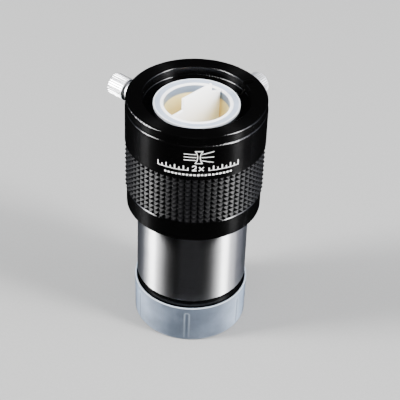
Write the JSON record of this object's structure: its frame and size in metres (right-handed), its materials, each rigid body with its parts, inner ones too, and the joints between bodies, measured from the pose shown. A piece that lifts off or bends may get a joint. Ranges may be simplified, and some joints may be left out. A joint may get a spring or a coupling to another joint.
{
  "type": "barlow lens",
  "caption": "Two-inch barlow lens with a chrome nosepiece, rubber grip, thumbscrew receiver, step-down reducer, lens cell, dust plug and barrel cap.",
  "frame": {"origin": "middle of the barrel cap's underside, on the optical axis", "axes": "+Z along the optical axis towards the eyepiece end; the two thumbscrews lie at equal angles on each side of the YZ plane and point towards +Y"},
  "size_m": [0.0735, 0.0689, 0.1228],
  "materials": {
    "black_anodised": "black anodised, satin, fine turning marks",
    "black_internal": "matt black anodised, light-absorbing",
    "grip_rubber": "matt moulded rubber",
    "barrel_chrome": "bright chrome plate over fine turning",
    "screw_chrome": "nickel-chrome plate, knurled",
    "ring_brass": "bare brass",
    "screw_steel": "black oxide steel",
    "pad_nylon": "natural nylon",
    "washer_fibre": "black fibre washer",
    "lens_glass": "polished optical glass with a green anti-reflection coating",
    "plug_plastic": "soft translucent white polyethylene",
    "cap_plastic": "frosted translucent polyethylene, pale blue-grey"
  },
  "bodies": {
    "body": {"receiver_body": "black_anodised", "base_collar": "black_anodised", "collar_set_screws": "screw_steel", "rubber_grip": "grip_rubber", "nosepiece_barrel": "barrel_chrome", "light_baffles": "black_internal", "receiver_clamp_ring": "ring_brass"},
    "thumb_pad_left": {"thumb_pad_left": "pad_nylon"},
    "thumbscrew_left": {"thumbscrew_left": "screw_chrome"},
    "thumb_pad_right": {"thumb_pad_right": "pad_nylon"},
    "thumbscrew_right": {"thumbscrew_right": "screw_chrome"},
    "reducer": {"reducer_body": "black_anodised", "eyepiece_clamp_ring": "ring_brass"},
    "clamp_pad": {"clamp_pad": "pad_nylon"},
    "clamp_screw": {"clamp_screw": "screw_steel"},
    "plug": {"reducer_plug": "plug_plastic"},
    "cell_washer": {"cell_washer": "washer_fibre"},
    "lens_cell": {"lens_cell": "black_anodised", "lens_retaining_ring": "black_internal", "front_element": "lens_glass", "rear_element": "lens_glass", "element_spacer": "black_internal"},
    "barrel_cap": {"barrel_cap": "cap_plastic"}
  },
  "joints": [
    {"name": "thumbscrew_left_travel", "type": "slide", "parent": "body", "child": "thumb_pad_left", "axis": [0.7071, -0.7071, 0], "range_m": [0, 0.00259]},
    {"name": "thumbscrew_left_turn", "type": "hinge", "parent": "thumb_pad_left", "child": "thumbscrew_left", "pos_m": [-0.02828, 0.02828, 0.1055], "axis": [0.7071, -0.7071, 0], "range_deg": [0, 1332.1]},
    {"name": "thumbscrew_right_travel", "type": "slide", "parent": "body", "child": "thumb_pad_right", "axis": [0.7071, 0.7071, 0], "range_m": [0, 0.00259]},
    {"name": "thumbscrew_right_turn", "type": "hinge", "parent": "thumb_pad_right", "child": "thumbscrew_right", "pos_m": [0.02828, 0.02828, 0.1055], "axis": [0.7071, 0.7071, 0], "range_deg": [0, 1332.1]},
    {"name": "clamp_screw_travel", "type": "slide", "parent": "reducer", "child": "clamp_pad", "axis": [0.647, 0.2853, 0.7071], "range_m": [0, 0.001]},
    {"name": "clamp_screw_turn", "type": "hinge", "parent": "clamp_pad", "child": "clamp_screw", "pos_m": [0.01976, 0.00872, 0.1156], "axis": [0.647, 0.2853, 0.7071], "range_deg": [0, 720.1]},
    {"name": "lens_cell_travel", "type": "slide", "parent": "body", "child": "cell_washer", "axis": [0, 0, -1], "range_m": [0, 0.00495]},
    {"name": "lens_cell_turn", "type": "hinge", "parent": "cell_washer", "child": "lens_cell", "pos_m": [0, 0, 0.0235], "axis": [0, 0, -1], "range_deg": [0, 2376.1]},
    {"name": "reducer_lift", "type": "slide", "parent": "body", "child": "reducer", "axis": [0, 0, 1], "range_m": [0, 0.06]},
    {"name": "plug_lift", "type": "slide", "parent": "reducer", "child": "plug", "axis": [0, 0, 1], "range_m": [0, 0.06]},
    {"name": "cap_pull", "type": "slide", "parent": "lens_cell", "child": "barrel_cap", "axis": [0, 0, -1], "range_m": [0, 0.07]}
  ],
  "couplings": [
    {"joint": "thumbscrew_left_turn", "follows": "thumbscrew_left_travel", "rad_per_m": 8976},
    {"joint": "thumbscrew_right_turn", "follows": "thumbscrew_right_travel", "rad_per_m": 8976},
    {"joint": "clamp_screw_turn", "follows": "clamp_screw_travel", "rad_per_m": 12566},
    {"joint": "lens_cell_turn", "follows": "lens_cell_travel", "rad_per_m": 8377.6}
  ]
}
